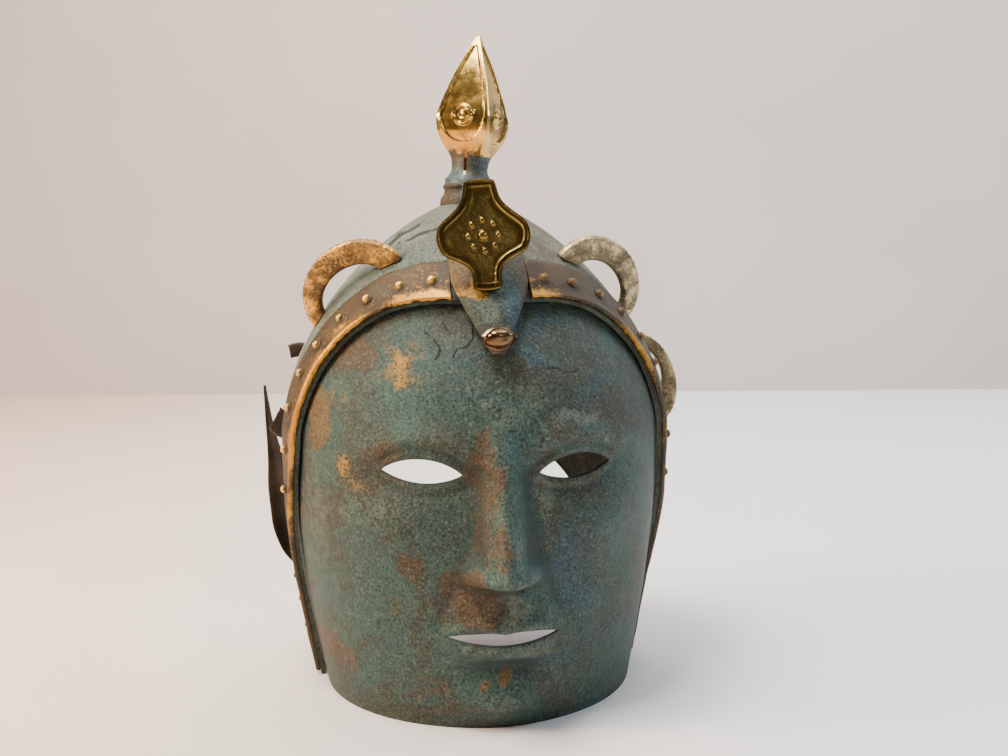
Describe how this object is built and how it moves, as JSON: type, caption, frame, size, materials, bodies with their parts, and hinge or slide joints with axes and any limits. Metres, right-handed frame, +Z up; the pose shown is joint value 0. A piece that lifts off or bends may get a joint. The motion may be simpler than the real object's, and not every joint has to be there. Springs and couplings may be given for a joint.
{
  "type": "helmet mask",
  "caption": "Bronze helmet mask: pierced calm face, skull bowl open at the nape, studded brow band, front plaque, crescent loops, ear blades and a four-sided bud finial.",
  "frame": {"origin": "centre of the overall box, on the plane that the lower rim stands on", "axes": "+Z up along the head, -Y out of the face, +X to the viewer's right when looking at the face"},
  "size_m": [0.215, 0.2064, 0.3208],
  "materials": {
    "patina": "corroded bronze, matt green and blue-grey patina",
    "dark_bronze": "dark brown bronze, worn to gold at the edges",
    "gold": "gilt or polished bronze, tarnished in the hollows",
    "olive_gold": "glossy olive gold"
  },
  "bodies": {
    "root": {"brow_band_left": "dark_bronze", "brow_band_right": "dark_bronze", "brow_knob": "dark_bronze", "brow_peak": "dark_bronze", "crown_collar": "patina", "crown_finial": "gold", "ear_left": "dark_bronze", "ear_right": "dark_bronze", "face_mask": "patina", "front_plaque": "olive_gold", "loop_stub_lower": "dark_bronze", "loop_stub_upper": "dark_bronze", "lower_loop_left": "gold", "skull_bowl": "patina", "stud_left_01": "gold", "stud_left_02": "gold", "stud_left_03": "gold", "stud_left_04": "gold", "stud_left_05": "gold", "stud_left_06": "gold", "stud_left_07": "gold", "stud_left_08": "gold", "stud_left_09": "gold", "stud_left_10": "gold", "stud_left_11": "gold", "stud_left_12": "gold", "stud_right_01": "gold", "stud_right_02": "gold", "stud_right_03": "gold", "stud_right_04": "gold", "stud_right_05": "gold", "stud_right_06": "gold", "stud_right_07": "gold", "stud_right_08": "gold", "stud_right_09": "gold", "stud_right_10": "gold", "stud_right_11": "gold", "stud_right_12": "gold", "upper_loop_left": "gold", "upper_loop_right": "gold"}
  },
  "joints": []
}
